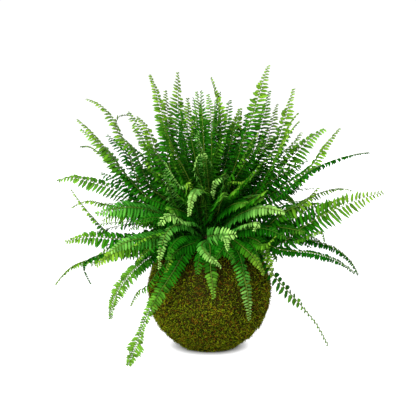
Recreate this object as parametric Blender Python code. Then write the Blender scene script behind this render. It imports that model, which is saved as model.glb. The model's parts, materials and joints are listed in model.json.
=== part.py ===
"""Kokedama: a Boston fern whose root ball is wrapped in living moss.

Metres, +Z up.  The origin is the middle of the flat spot that the ball rests on, and +Y is the plant's back.
The fern is a rosette.  Every frond grows from a bud of its own on the crown, which sits on the root ball in
the mouth of the moss wrap, and takes a way through the air that no frond before it has taken.
"""
import math

import bmesh
import bpy
from mathutils import Matrix, Vector
from mathutils.bvhtree import BVHTree

MM = 0.001
UP = Vector((0.0, 0.0, 1.0))

# Moss wrap and the root ball in it
BALL_RADIUS = 90 * MM
BALL_CENTRE_HEIGHT = 82 * MM
MOSS_THICKNESS = 7.7 * MM
MOSS_LUMP = 0.9 * MM
MOUTH_LATITUDE = math.radians(56)
SEAT_GAP = 0.3 * MM
SOIL_RADIUS = BALL_RADIUS - MOSS_THICKNESS - SEAT_GAP
BALL_SIDES = 36
FLAT_RINGS = 2
BALL_RINGS = 11

# Crown
CROWN_RADIUS = 33 * MM
CROWN_HEIGHT = 27 * MM
CROWN_BASE_HEIGHT = BALL_CENTRE_HEIGHT + SOIL_RADIUS * math.sin(MOUTH_LATITUDE) + SEAT_GAP
CROWN_DENT = 0.4 * MM
CROWN_SIDES = 24
CROWN_RINGS = 6
BUD_COUNT = 72
LOWEST_BUD = 0.16           # height of the lowest bud on the crown, as a share of the crown's own height
GOLDEN_ANGLE = math.pi * (3 - math.sqrt(5))

# Frond section and blade
STIPE_HALF_WIDTH = 1.2 * MM
TIP_HALF_WIDTH = 0.9 * MM
RIB_ABOVE = 0.35 * MM       # the midrib stands a little above the blade and more below it
RIB_BELOW = 0.85 * MM
TIP_RIB_SHARE = 0.5
BLADE_START = 0.08          # these four are shares of the frond's length
BLADE_FULL = 0.28
BLADE_TAPER = 0.68
HEADING_SHARE = 0.6         # how far along the frond is when its heading is read
TAPER_CURVE = 1.5
STATION_PITCH = 14 * MM
FEWEST_STATIONS = 12
PATH_STEPS = 24

# How a frond looks for free air: the blade narrows last
AIR_GAP = 0.3 * MM
WIDTH_SHARES = (1.0, 0.8, 0.62, 0.45, 0.3)
TURNS = tuple(math.radians(angle) for angle in (0, 14, -14, 28, -28))
SHIFTS = tuple(step * MM for step in (0, 5, -5, 10, -10, 15, -15, 20, -20, 26, -26, 32, -32))
BUDS_TRIED = 3

# Colour and roughness of each material
FINISHES = {
    "moss": ((0.13, 0.15, 0.02), 0.95),
    "peat_soil": ((0.045, 0.028, 0.016), 0.95),
    "crown_wood": ((0.07, 0.045, 0.018), 0.85),
    "deep_frond": ((0.02, 0.11, 0.008), 0.5),
    "fresh_frond": ((0.07, 0.26, 0.02), 0.45),
    "pale_frond": ((0.22, 0.42, 0.07), 0.45),
}

# One row for each frond, the lowest of each side first: leaf colour, half width in millimetres and roll in
# degrees, then the points that its rib passes on the way to the tip, in millimetres.  A positive roll turns
# the upper side of a frond that leans right to the front.
FRONDS = {
    "front": [
        ("deep", 10, 0, [(1, -82, 160), (2, -98, 130), (5, -104, 108), (6, -104, 94)]),
        ("pale", 10, 10, [(30, -70, 162), (41, -90, 141), (50, -100, 111), (55, -102, 63)]),
        ("fresh", 9, 25, [(39, -74, 165), (56, -88, 153), (67, -94, 139), (75, -94, 124)]),
        ("fresh", 9, 45, [(50, -55, 170), (69, -70, 166), (80, -76, 144), (87, -74, 117)]),
        ("pale", 8, -15, [(-10, -86, 163), (2, -110, 152), (16, -116, 141)]),
        ("pale", 8, -20, [(-34, -70, 190), (-55, -95, 188), (-65, -105, 165), (-68, -108, 136)]),
        ("pale", 13, 35, [(25, -50, 188), (45, -80, 208), (72, -110, 220), (100, -125, 216)]),
        ("pale", 9, 0, [(-12, -50, 213), (-16, -90, 243), (-24, -125, 233), (-27, -135, 213)]),
    ],
    "right": [
        ("deep", 9, 35, [(60, -38, 162), (94, -38, 108), (128, -34, 70), (154, -30, 37), (170, -28, 7)]),
        ("deep", 12, 40, [(104, -75, 155), (144, -92, 154), (175, -98, 144), (198, -98, 128)]),
        ("deep", 12, 25, [(100, -20, 161), (144, -35, 161), (180, -40, 149),
                          (200, -40, 131), (210, -40, 113)]),
        ("fresh", 16, 50, [(110, 0, 167), (158, 0, 196), (196, -5, 219)]),
        ("fresh", 20, 60, [(90, -50, 152), (134, -70, 187), (185, -80, 216), (238, -85, 235)]),
        ("fresh", 16, 45, [(75, -30, 177), (106, -45, 204), (130, -50, 216), (150, -55, 239)]),
        ("fresh", 8, 0, [(90, 30, 178), (135, 50, 204), (172, 60, 218), (194, 60, 222), (211, 55, 219)]),
        ("deep", 8, 5, [(90, -60, 223), (144, -80, 270), (184, -84, 286), (216, -80, 291)]),
        ("fresh", 13, 35, [(100, -20, 234), (141, -30, 264), (162, -35, 296), (180, -40, 320)]),
        ("deep", 20, 40, [(90, 5, 240), (125, 15, 282), (146, 15, 302), (164, 10, 314)]),
        ("fresh", 9, 0, [(76, -40, 243), (100, -60, 300), (110, -65, 318), (122, -70, 333)]),
        ("fresh", 9, 0, [(76, -10, 243), (101, -15, 297), (112, -18, 325), (124, -20, 340)]),
    ],
    "left": [
        ("deep", 11, -35, [(-27, -78, 162), (-51, -98, 127), (-73, -110, 94),
                           (-87, -117, 68), (-98, -122, 37), (-110, -125, 6)]),
        ("deep", 9, -35, [(-69, -55, 151), (-102, -80, 130), (-124, -85, 104),
                          (-134, -85, 82), (-137, -83, 60)]),
        ("deep", 16, -35, [(-84, 34, 148), (-128, 42, 140), (-157, 42, 128), (-174, 38, 109)]),
        ("fresh", 9, -10, [(-100, 30, 134), (-158, 45, 125), (-200, 45, 112), (-225, 40, 86)]),
        ("fresh", 13, -35, [(-82, -62, 158), (-126, -86, 156), (-155, -96, 137)]),
        ("pale", 14, -45, [(-78, -88, 175), (-113, -112, 173), (-133, -122, 162)]),
        ("fresh", 14, -50, [(-85, -24, 163), (-137, -34, 164), (-170, -38, 167), (-201, -42, 161)]),
        ("pale", 15, -50, [(-84, -70, 211), (-120, -98, 218), (-152, -108, 211)]),
        ("fresh", 9, -10, [(-100, 40, 190), (-153, 60, 198), (-183, 60, 203), (-203, 55, 194)]),
        ("fresh", 8, 0, [(-92, -25, 145), (-139, -26, 165), (-163, -30, 190),
                         (-181, -34, 213), (-194, -38, 233)]),
        ("deep", 17, -30, [(-95, 30, 210), (-140, 50, 223), (-175, 50, 234),
                           (-204, 45, 240), (-221, 40, 236)]),
        ("fresh", 8, 0, [(-96, -45, 224), (-130, -65, 264), (-152, -70, 285),
                         (-168, -70, 295), (-180, -65, 294)]),
        ("deep", 15, -25, [(-107, 20, 225), (-155, 40, 285), (-187, 50, 310)]),
        ("fresh", 16, -35, [(-104, -25, 237), (-142, -35, 288), (-164, -40, 315), (-182, -45, 333)]),
        ("fresh", 15, -30, [(-64, 15, 235), (-80, 30, 290), (-90, 34, 314), (-104, 34, 329)]),
        ("fresh", 16, -15, [(-84, -10, 236), (-106, -20, 288), (-130, -25, 322), (-127, -24, 334),
                            (-113, -20, 337)]),
        ("fresh", 16, -20, [(-98, 20, 240), (-124, 40, 302), (-144, 45, 337),
                            (-158, 45, 350), (-174, 40, 357)]),
    ],
    "upright": [
        ("fresh", 12, -35, [(-55, 10, 255), (-65, 20, 320), (-74, 28, 360), (-85, 30, 390)]),
        ("fresh", 15, -20, [(-53, 40, 265), (-60, 60, 325), (-64, 75, 365)]),
        ("fresh", 17, 0, [(-38, 20, 240), (-44, 50, 310), (-46, 80, 391)]),
        ("fresh", 15, 0, [(-28, 55, 265), (-32, 95, 315), (-32, 118, 351)]),
        ("deep", 15, 10, [(-14, 30, 265), (-14, 60, 315), (-18, 80, 363)]),
        ("deep", 14, 0, [(-2, 60, 265), (3, 90, 315), (-2, 112, 356)]),
        ("fresh", 14, 25, [(6, -5, 255), (17, 0, 320), (10, 0, 362), (2, -5, 388)]),
        ("fresh", 14, 20, [(28, 30, 258), (36, 45, 302), (45, 55, 340)]),
        ("fresh", 16, 25, [(34, 10, 253), (55, 30, 305), (69, 45, 352), (86, 60, 402)]),
        ("deep", 15, 10, [(60, 50, 265), (78, 75, 322), (89, 90, 363)]),
        ("fresh", 15, 0, [(70, 70, 255), (90, 100, 302), (102, 120, 342)]),
        ("fresh", 16, 25, [(76, 20, 250), (100, 40, 295), (114, 50, 338), (123, 55, 368)]),
    ],
    "back": [
        ("deep", 12, 0, [(-50, 84, 168), (-72, 112, 130), (-78, 124, 84)]),
        ("deep", 12, 0, [(50, 78, 168), (74, 106, 128), (80, 116, 82)]),
        ("deep", 12, 0, [(0, 90, 168), (0, 128, 122), (-5, 136, 66)]),
        ("fresh", 15, 0, [(-82, 85, 190), (-122, 145, 182), (-142, 185, 148)]),
        ("fresh", 16, 0, [(70, 95, 205), (112, 162, 202), (140, 202, 172)]),
        ("deep", 16, 0, [(30, 115, 235), (50, 185, 242), (60, 228, 215)]),
        ("fresh", 16, 0, [(-20, 120, 215), (-30, 190, 212), (-35, 232, 172)]),
        ("deep", 16, 0, [(-60, 110, 230), (-95, 175, 238), (-115, 220, 212)]),
    ],
}


def material(name):
    colour, roughness = FINISHES[name]
    made = bpy.data.materials.get(name)
    if made:
        return made
    made = bpy.data.materials.new(name)
    made.use_nodes = True
    shader = made.node_tree.nodes["Principled BSDF"]
    shader.inputs["Base Color"].default_value = (*colour, 1.0)
    shader.inputs["Roughness"].default_value = roughness
    shader.inputs["Metallic"].default_value = 0.0
    return made


def add_object(name, shape, material_name):
    mesh = bpy.data.meshes.new(name)
    shape.to_mesh(mesh)
    shape.free()
    mesh.materials.append(material(material_name))
    mesh.shade_smooth()
    bpy.context.scene.collection.objects.link(bpy.data.objects.new(name, mesh))


def skin(rings):
    """Join rings of points, first to last, into one closed body; a ring of one point is a pole or a tip."""
    shape = bmesh.new()
    loops = [[shape.verts.new(point) for point in ring] for ring in rings]
    for lower, upper in zip(loops, loops[1:]):
        sides = max(len(lower), len(upper))
        for side in range(sides):
            after = (side + 1) % sides
            if len(lower) == 1:
                corners = (lower[0], upper[after], upper[side])
            elif len(upper) == 1:
                corners = (lower[side], lower[after], upper[0])
            else:
                corners = (lower[side], lower[after], upper[after], upper[side])
            shape.faces.new(corners)
    for end in (loops[0], loops[-1]):
        if len(end) > 2:
            shape.faces.new(end)
    bmesh.ops.recalc_face_normals(shape, faces=shape.faces)
    bmesh.ops.triangulate(shape, faces=shape.faces)
    shape.verts.index_update()
    return shape


def circle(radius, height, sides):
    return [
        Vector((radius * math.cos(turn), radius * math.sin(turn), height))
        for turn in (math.tau * side / sides for side in range(sides))
    ]


def flattened_ball(radius, floor):
    """Rings of a ball from its squashed underside at the height `floor` up to the mouth."""
    drop = BALL_CENTRE_HEIGHT - floor
    flat_radius = math.sqrt(radius * radius - drop * drop)
    lowest = -math.asin(drop / radius)
    rings = [[Vector((0, 0, floor))]]
    for step in range(1, FLAT_RINGS + 1):
        rings.append(circle(flat_radius * step / (FLAT_RINGS + 1), floor, BALL_SIDES))
    for step in range(BALL_RINGS + 1):
        latitude = lowest + (MOUTH_LATITUDE - lowest) * step / BALL_RINGS
        height = BALL_CENTRE_HEIGHT + radius * math.sin(latitude)
        rings.append(circle(radius * math.cos(latitude), height, BALL_SIDES))
    return rings


def lumpy(rings):
    """Press shallow hollows into the wrap, none on the flat spot or at the mouth."""
    for step, ring in enumerate(rings[FLAT_RINGS + 2:-1], start=1):
        share = step / BALL_RINGS
        for point in ring:
            turn = math.atan2(point.y, point.x)
            wave = math.sin(3 * turn + 4 * share) * math.sin(5 * turn - 7 * share + 1)
            hollow = MOSS_LUMP * (0.5 - 0.5 * wave) * math.sin(math.pi * share)
            centre = Vector((0, 0, BALL_CENTRE_HEIGHT))
            point -= (point - centre).normalized() * hollow
    return rings


def make_root_ball(air):
    """The moss wrap is an open bag; the soil fills it with a thin seam all round."""
    inner = flattened_ball(SOIL_RADIUS + SEAT_GAP, MOSS_THICKNESS)
    outer = lumpy(flattened_ball(BALL_RADIUS, 0.0))
    wrap = skin(outer + inner[::-1])
    soil = skin(flattened_ball(SOIL_RADIUS, MOSS_THICKNESS + SEAT_GAP))
    air.take(wrap)
    air.take(soil)
    add_object("moss_wrap", wrap, "moss")
    add_object("soil_ball", soil, "peat_soil")


def make_crown(air):
    """The crown is a low woody dome, knobbly with old frond bases."""
    rings = [[Vector((0, 0, CROWN_BASE_HEIGHT))]]
    for step in range(CROWN_RINGS):
        rise = 0.5 * math.pi * step / CROWN_RINGS
        height = CROWN_BASE_HEIGHT + CROWN_HEIGHT * math.sin(rise)
        ring = circle(CROWN_RADIUS * math.cos(rise), height, CROWN_SIDES)
        for side, point in enumerate(ring):
            dent = CROWN_DENT * ((side * 7 + step * 5) % 4) / 3
            point.xy *= 1 - dent / point.xy.length
        rings.append(ring)
    rings.append([Vector((0, 0, CROWN_BASE_HEIGHT + CROWN_HEIGHT))])
    crown = skin(rings)
    air.take(crown)
    add_object("rhizome_crown", crown, "crown_wood")


def bud_places(air):
    """Buds in a golden-angle spiral over the crown: the foot of each frond and the way it first points."""
    buds = []
    for number in range(BUD_COUNT):
        rise = 1 - (1 - LOWEST_BUD) * (number + 0.5) / BUD_COUNT
        reach = math.sqrt(1 - rise * rise)
        turn = number * GOLDEN_ANGLE
        spot = Vector((reach * math.cos(turn) * CROWN_RADIUS, reach * math.sin(turn) * CROWN_RADIUS,
                       rise * CROWN_HEIGHT))
        outward = Vector((spot.x / CROWN_RADIUS ** 2, spot.y / CROWN_RADIUS ** 2, spot.z / CROWN_HEIGHT ** 2))
        outward.normalize()
        above = spot + UP * CROWN_BASE_HEIGHT + outward * CROWN_HEIGHT
        bark = air.tree.ray_cast(above, -outward)[0]
        buds.append((bark + outward * SEAT_GAP, outward))
    return buds


def smooth_path(points, start_direction):
    """Points along a curve that leaves the first point in the start direction and passes all the others."""
    chords = [(after - before).length for before, after in zip(points, points[1:])]
    slopes = [(after - before) / chord for before, after, chord in zip(points, points[1:], chords)]
    tangents = [start_direction]
    for left, right, left_chord, right_chord in zip(slopes, slopes[1:], chords, chords[1:]):
        tangents.append((left * right_chord + right * left_chord) / (left_chord + right_chord))
    tangents.append(1.5 * slopes[-1] - 0.5 * tangents[-1])
    path = [points[0]]
    for index, chord in enumerate(chords):
        for step in range(1, PATH_STEPS + 1):
            t = step / PATH_STEPS
            path.append(
                points[index] * (2 * t ** 3 - 3 * t ** 2 + 1)
                + tangents[index] * chord * (t ** 3 - 2 * t ** 2 + t)
                + points[index + 1] * (3 * t ** 2 - 2 * t ** 3)
                + tangents[index + 1] * chord * (t ** 3 - t ** 2)
            )
    return path


def even_stations(path):
    """The same curve as stations at an even pitch."""
    lengths = [0.0]
    for before, after in zip(path, path[1:]):
        lengths.append(lengths[-1] + (after - before).length)
    count = max(FEWEST_STATIONS, round(lengths[-1] / STATION_PITCH))
    stations = []
    index = 0
    for step in range(count + 1):
        wanted = lengths[-1] * step / count
        while index < len(path) - 2 and lengths[index + 1] < wanted:
            index += 1
        share = (wanted - lengths[index]) / (lengths[index + 1] - lengths[index])
        stations.append(path[index].lerp(path[index + 1], share))
    return stations


def ease(share):
    share = min(max(share, 0.0), 1.0)
    return share * share * (3 - 2 * share)


def blade_half_width(share, full):
    """Bare stipe, then the blade widens, keeps its width and tapers to the tip."""
    opening = ease((share - BLADE_START) / (BLADE_FULL - BLADE_START))
    opened = STIPE_HALF_WIDTH + (full - STIPE_HALF_WIDTH) * opening
    spent = max(0.0, (share - BLADE_TAPER) / (1 - BLADE_TAPER))
    return max(opened * (1 - spent ** TAPER_CURVE), TIP_HALF_WIDTH)


def frond_rings(stations, outward, half_width, roll, swell=0.0):
    """Four-cornered sections along the rib: edge, top, edge, underside; the last one is the tip.

    The first section is square to the bud's own direction, so that the foot seats flat on the crown.
    """
    last = len(stations) - 1
    lean = stations[round(HEADING_SHARE * last)] - stations[0]
    heading = Vector((lean.x, lean.y, 0)).normalized()
    level_side = UP.cross(heading)
    rings = []
    for number, station in enumerate(stations[:-1]):
        share = number / last
        along = (stations[number + 1] - stations[number - 1]).normalized() if number else outward
        side = (level_side - along * level_side.dot(along)).normalized()
        side.rotate(Matrix.Rotation(roll * ease(share / BLADE_FULL), 3, along))
        face = along.cross(side)
        width = blade_half_width(share, half_width) + swell
        rib = 1 - (1 - TIP_RIB_SHARE) * share
        rings.append([
            station + side * width,
            station + face * (RIB_ABOVE * rib + swell),
            station - side * width,
            station - face * (RIB_BELOW * rib + swell),
        ])
    rings.append([stations[-1]])
    return rings


def surface_of(shape):
    points = [vertex.co.copy() for vertex in shape.verts]
    faces = [[vertex.index for vertex in face.verts] for face in shape.faces]
    return points, faces


class Air:
    """The surfaces that a new frond has to keep clear of."""

    def __init__(self):
        self.points = []
        self.faces = []
        self.tree = None

    def take(self, shape):
        first = len(self.points)
        points, faces = surface_of(shape)
        self.points += points
        self.faces += [[first + corner for corner in face] for face in faces]
        self.tree = BVHTree.FromPolygons(self.points, self.faces)

    def is_free(self, shape):
        return not self.tree.overlap(BVHTree.FromPolygons(*surface_of(shape)))


def frond_ways(half_width, roll, way_points, buds):
    """Every way in which the frond may grow, the one nearest to its own form first."""
    aim = (way_points[0] - UP * CROWN_BASE_HEIGHT).normalized()
    nearest = sorted(buds, key=lambda bud: -aim.dot(bud[1]))[:BUDS_TRIED]
    for width_share in WIDTH_SHARES:
        for bud in nearest:
            for turn in TURNS:
                for shift in SHIFTS:
                    moved = [point + Vector((0, shift, 0)) for point in way_points]
                    yield bud, moved, half_width * width_share, roll + turn


def make_frond(name, row, buds, air):
    leaf, half_width, roll, points = row
    way_points = [Vector(point) * MM for point in points]
    for bud, moved, width, turned in frond_ways(half_width * MM, math.radians(roll), way_points, buds):
        foot, outward = bud
        stations = even_stations(smooth_path([foot] + moved, outward))
        swollen = skin(frond_rings(stations, outward, width, turned, AIR_GAP))
        free = air.is_free(swollen)
        swollen.free()
        if free:
            buds.remove(bud)
            shape = skin(frond_rings(stations, outward, width, turned))
            air.take(shape)
            add_object(name, shape, f"{leaf}_frond")
            return
    raise RuntimeError(f"{name} finds no free air")


for old in list(bpy.data.objects):
    bpy.data.objects.remove(old, do_unlink=True)
taken_air = Air()
make_root_ball(taken_air)
make_crown(taken_air)
free_buds = bud_places(taken_air)
for group, rows in FRONDS.items():
    for number, row in enumerate(rows, start=1):
        make_frond(f"{group}_frond_{number:02d}", row, free_buds, taken_air)
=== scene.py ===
import json
import math
import random
from itertools import combinations

import bmesh
import bpy
from mathutils import Matrix, Vector, noise
from mathutils.geometry import interpolate_bezier


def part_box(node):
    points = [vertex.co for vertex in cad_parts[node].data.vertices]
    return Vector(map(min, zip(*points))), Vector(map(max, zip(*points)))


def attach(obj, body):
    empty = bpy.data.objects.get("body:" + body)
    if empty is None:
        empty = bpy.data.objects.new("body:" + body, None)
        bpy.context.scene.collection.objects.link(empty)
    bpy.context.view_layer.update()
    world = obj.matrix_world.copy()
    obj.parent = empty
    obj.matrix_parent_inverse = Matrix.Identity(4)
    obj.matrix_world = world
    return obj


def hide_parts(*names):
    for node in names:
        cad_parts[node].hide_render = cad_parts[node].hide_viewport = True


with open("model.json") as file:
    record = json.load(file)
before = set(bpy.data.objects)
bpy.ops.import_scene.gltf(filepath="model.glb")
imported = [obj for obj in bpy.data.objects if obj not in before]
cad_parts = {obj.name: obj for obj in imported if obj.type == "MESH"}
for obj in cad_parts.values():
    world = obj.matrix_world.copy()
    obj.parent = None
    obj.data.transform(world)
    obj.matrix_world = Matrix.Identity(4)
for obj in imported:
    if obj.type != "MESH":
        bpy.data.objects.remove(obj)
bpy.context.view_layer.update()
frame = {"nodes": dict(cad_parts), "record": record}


# ---- Table and daylight ----------------------------------
# The plant stands on a plain white table in soft daylight.  A broad window is to its upper left and front,
# a weak reflector to its right and a second window behind.  The camera looks from a little above it.
MM = 0.001
TABLE_HALF = 6.0
TABLE_TO_PLANT = 0.5
TABLE_TO_CAMERA = 0.35
# To the camera the table glows, and near the ball its glow fades within CONTACT_REACH as a painted contact
# shadow.
TABLE_GLOW = 0.88
CONTACT_REACH = 14 * MM
ROOM_LIGHT = 0.52
BACKDROP_LIGHT = 1.05
WHITE = (1, 1, 1, 1)
# Each lamp's name, watts, width and place, in metres.
LAMPS = (
    ("window", 90, 2.0, (-0.85, -1.85, 1.25)),
    ("reflector", 3, 1.2, (1.6, -1.6, 0.9)),
    ("back_window", 40, 2.0, (0.6, 2.1, 0.9)),
)
CAMERA_AIM = Vector((-1.9 * MM, 0.0, 202 * MM))
CAMERA_DISTANCE = 1.8
CAMERA_RISE = math.radians(9)
CAMERA_LENS = 108.9


def shown(name, mesh):
    """An object for this mesh, in the scene and at the origin."""
    piece = bpy.data.objects.new(name, mesh)
    bpy.context.scene.collection.objects.link(piece)
    return piece


def plug(tree, socket, value):
    """Feed a node's input from another node's output, or set it to a plain value."""
    value = getattr(value, "output", value)
    if isinstance(value, bpy.types.NodeSocket):
        tree.links.new(value, socket)
    else:
        socket.default_value = value


def node(tree, kind, inputs=(), **settings):
    """A new node with these settings; inputs maps its sockets, by name or place, to values or outputs."""
    new = tree.nodes.new(kind)
    for setting, value in settings.items():
        setattr(new, setting, value)
    for socket, value in dict(inputs).items():
        plug(tree, new.inputs[socket], value)
    return new


def made(tree, kind, inputs=(), output=0, **settings):
    """The output of a new node, its first unless another is named."""
    return Wire(node(tree, kind, inputs, **settings).outputs[output])


class Wire:
    """A node's output.  As a term of a sum it adds the nodes that work the sum out."""

    def __init__(self, output):
        self.output = output
        self.is_vector = output.type == "VECTOR"

    def into(self, kind, inputs=(), output=0, **settings):
        """The output of a new node whose first input this feeds."""
        return made(self.output.id_data, kind, {0: self, **dict(inputs)}, output, **settings)

    def do(self, operation, *others):
        vector = self.is_vector or any(isinstance(other, Wire) and other.is_vector for other in others)
        return self.into(
            "ShaderNodeVectorMath" if vector else "ShaderNodeMath", enumerate(others, start=1),
            "Value" if operation == "DOT_PRODUCT" else 0, operation=operation)

    def scaled(self, amount):
        return self.into("ShaderNodeVectorMath", {"Scale": amount}, operation="SCALE")

    def __add__(self, other):
        return self.do("ADD", other)

    def __sub__(self, other):
        return self.do("SUBTRACT", other)

    def __rsub__(self, other):
        return (self * -1) + other

    def __mul__(self, other):
        if self.is_vector and not (isinstance(other, Wire) and other.is_vector):
            return self.scaled(other)
        if isinstance(other, Wire) and other.is_vector and not self.is_vector:
            return other.scaled(self)
        return self.do("MULTIPLY", other)

    def __truediv__(self, other):
        return self.do("DIVIDE", other)

    __radd__ = __add__
    __rmul__ = __mul__


def finish_named(name):
    """A new material's node tree, its shader and the material."""
    finish = bpy.data.materials.new(name)
    finish.use_nodes = True
    return finish.node_tree, finish.node_tree.nodes["Principled BSDF"], finish


def seen_as(tree, by_plant, by_camera):
    """A value that is one thing to the light that reaches the plant and another to the camera."""
    seen = made(tree, "ShaderNodeLightPath", output="Is Camera Ray")
    return seen.into("ShaderNodeMapRange", {"To Min": by_plant, "To Max": by_camera})


tree, shader, table_finish = finish_named("white_table")
# Occlusion close to the ball dims the table's glow, which paints a contact shadow under it.
painted_contact_shadow = made(tree, "ShaderNodeAmbientOcclusion", {"Distance": CONTACT_REACH}, "AO", samples=16)
plug(tree, shader.inputs["Base Color"], seen_as(tree, TABLE_TO_PLANT, TABLE_TO_CAMERA))
plug(tree, shader.inputs["Emission Color"], WHITE)
plug(tree, shader.inputs["Emission Strength"], seen_as(tree, 0.0, painted_contact_shadow * TABLE_GLOW))
plug(tree, shader.inputs["Roughness"], 0.9)
table_mesh = bpy.data.meshes.new("table_top")
corners = [(x * TABLE_HALF, y * TABLE_HALF, 0) for x, y in ((-1, -1), (1, -1), (1, 1), (-1, 1))]
table_mesh.from_pydata(corners, [], [(0, 1, 2, 3)])
table_mesh.materials.append(table_finish)
shown("table_top", table_mesh)

scene = bpy.context.scene
scene.view_settings.view_transform = "Standard"
scene.world = bpy.data.worlds.new("daylight")
scene.world.use_nodes = True
sky_tree = scene.world.node_tree
sky = sky_tree.nodes["Background"]
plug(sky_tree, sky.inputs["Color"], WHITE)
plug(sky_tree, sky.inputs["Strength"], seen_as(sky_tree, ROOM_LIGHT, BACKDROP_LIGHT))

for name, watts, width, place in LAMPS:
    light = bpy.data.lights.new(name, "AREA")
    light.shape = "DISK"
    light.size = width
    light.energy = watts
    lamp = shown(name, light)
    lamp.location = place
    lamp.rotation_euler = (CAMERA_AIM - Vector(place)).to_track_quat("-Z", "Y").to_euler()

camera = bpy.data.cameras.new("camera")
camera.lens = CAMERA_LENS
camera_stand = shown("camera", camera)
away = Vector((0, -math.cos(CAMERA_RISE), math.sin(CAMERA_RISE)))
camera_stand.location = CAMERA_AIM + CAMERA_DISTANCE * away
camera_stand.rotation_euler = (math.radians(90) - CAMERA_RISE, 0, 0)
scene.camera = camera_stand


# ---- Soil ball -------------------------------------------
# The root ball is dark peat pressed into a ball.  It shows only round the crown, in the mouth of the
# moss, where loose crumbs of peat lie on it.
WELD = 0.01 * MM
PEAT_DARK = (0.010, 0.006, 0.003, 1)
PEAT_BROWN = (0.045, 0.026, 0.012, 1)
PEAT_LUMP = (0.022, 0.012, 0.006, 1)
TOP_FACE = 0.3
CRUMB_SIZE = 2.2 * MM
CRUMBS_PER_AREA = 1.5e4
CRUMB_RINGS = ((0, 0.3, 0, 5), (0.35, 0.5, 0.05, 5), (0.8, 0.35, 0, 5), (1.0, 0, 0, 1))


def varied(draw, least, most):
    """A value from least to most, as the draw goes from 0 to 1."""
    return least + draw * (most - least)


def step_up(value, low, high):
    """0 below low, 1 above high and smooth between them."""
    limits = {"From Min": low, "From Max": high}
    return value.into("ShaderNodeMapRange", limits, interpolation_type="SMOOTHSTEP")


def blend(tree, share, first, second):
    """A mix of two colours."""
    return made(tree, "ShaderNodeMix", {0: share, 6: first, 7: second}, 2, data_type="RGBA")


def mottle(tree, scale, detail=2.0):
    """Cloudy noise fixed to the object; scale is in cycles per metre."""
    place = made(tree, "ShaderNodeTexCoord", output="Object")
    return place.into("ShaderNodeTexNoise", {"Scale": scale, "Detail": detail})


def axes(vector):
    """The x, y and z of a vector."""
    return [Wire(axis) for axis in node(vector.output.id_data, "ShaderNodeSeparateXYZ", {0: vector}).outputs]


def vector_of(tree, *values):
    """A vector of these three values."""
    return made(tree, "ShaderNodeCombineXYZ", enumerate(values))


def coat(tree, shader, colour, roughness, gloss, relief=None, depth=0.0, strength=0.0):
    """Give a shader its colour, roughness and gloss and, where it has relief, a bump of that depth."""
    plug(tree, shader.inputs["Base Color"], colour)
    plug(tree, shader.inputs["Roughness"], roughness)
    plug(tree, shader.inputs["Specular IOR Level"], gloss)
    if relief is not None:
        relief = {"Height": relief, "Distance": depth, "Strength": strength}
        plug(tree, shader.inputs["Normal"], made(tree, "ShaderNodeBump", relief))


def dressed(name, finish):
    """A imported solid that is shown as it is, with this finish on it."""
    solid = frame["nodes"][name]
    solid.data.materials.clear()
    solid.data.materials.append(finish)
    return solid


def growth_tree(name, **inputs):
    """A new Geometry Nodes tree with one geometry output, and its inputs, which are named here by kind."""
    tree = bpy.data.node_groups.new(name, "GeometryNodeTree")
    for kind, sockets in inputs.items():
        for socket in sockets:
            tree.interface.new_socket(socket, in_out="INPUT", socket_type=f"NodeSocket{kind}")
    tree.interface.new_socket("Grown", in_out="OUTPUT", socket_type="NodeSocketGeometry")
    outputs = tree.nodes.new("NodeGroupInput").outputs
    return tree, {output.name: Wire(output) for output in outputs if output.name}


def kept(tree, name, kind="FLOAT"):
    """The attribute of this name, in Geometry Nodes."""
    return made(tree, "GeometryNodeInputNamedAttribute", {"Name": name}, data_type=kind)


def keep(geometry, name, value, kind="FLOAT", domain="POINT"):
    """The geometry with this value stored on it as an attribute."""
    value = {"Name": name, "Value": value}
    return geometry.into("GeometryNodeStoreNamedAttribute", value, data_type=kind, domain=domain)


def mapped(geometry, cell, cells, across, up):
    """The geometry laid out on the map, each part in the square of its number; across and up run 0 to 1."""
    row = (cell / cells).do("FLOOR")
    place = vector_of(geometry.output.id_data, (cell - row * cells + across) / cells, (row + up) / cells)
    return keep(geometry, "OFBake", place, "FLOAT2", "CORNER")


def chance(tree, low, high, seed):
    """A random number for each element."""
    return made(tree, "FunctionNodeRandomValue", {2: low, 3: high, "Seed": seed}, 1, data_type="FLOAT")


def plain(geometry):
    """The geometry as plain faces, without the attributes that only its growth needs."""
    bare = geometry.into("GeometryNodeRemoveAttribute", {"Name": "grow_*"}, pattern_mode="WILDCARD")
    return bare.into("GeometryNodeRealizeInstances")


def grow(tree, name, guide_mesh, sizes):
    """The plain mesh that a tree grows on a guide, as a piece of that name."""
    guide = shown(name + "_guide", guide_mesh)
    growth = guide.modifiers.new("growth", "NODES")
    growth.node_group = tree
    for item in tree.interface.items_tree:
        if item.in_out == "INPUT" and item.name in sizes:
            growth[item.identifier] = sizes[item.name]
    guide.update_tag()
    depsgraph = bpy.context.evaluated_depsgraph_get()
    grown = bpy.data.meshes.new_from_object(
        guide.evaluated_get(depsgraph), preserve_all_data_layers=True, depsgraph=depsgraph)
    guide.modifiers.remove(growth)
    bpy.data.objects.remove(guide)
    grown.name = name
    return shown(name, grown)


def mesh_of(shape, name):
    """The mesh of a bmesh, which is used up."""
    mesh = bpy.data.meshes.new(name)
    shape.to_mesh(mesh)
    shape.free()
    return mesh


def welded(solid):
    """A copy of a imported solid's mesh with its triangles joined up, in a bmesh."""
    shape = bmesh.new()
    shape.from_mesh(solid.data)
    bmesh.ops.remove_doubles(shape, verts=shape.verts, dist=WELD)
    return shape


def ground_of(shape, name, grows_on):
    """The mesh of those faces that things grow on; the bmesh is used up."""
    bare = [face for face in shape.faces if not grows_on(face.calc_center_median(), face.normal)]
    bmesh.ops.delete(shape, geom=bare, context="FACES")
    return mesh_of(shape, name)


def pattern_object(shape, name):
    """A smooth closed shape that is to be repeated; the bmesh is used up."""
    bmesh.ops.recalc_face_normals(shape, faces=shape.faces)
    for face in shape.faces:
        face.smooth = True
    return shown(name, mesh_of(shape, name))


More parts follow.
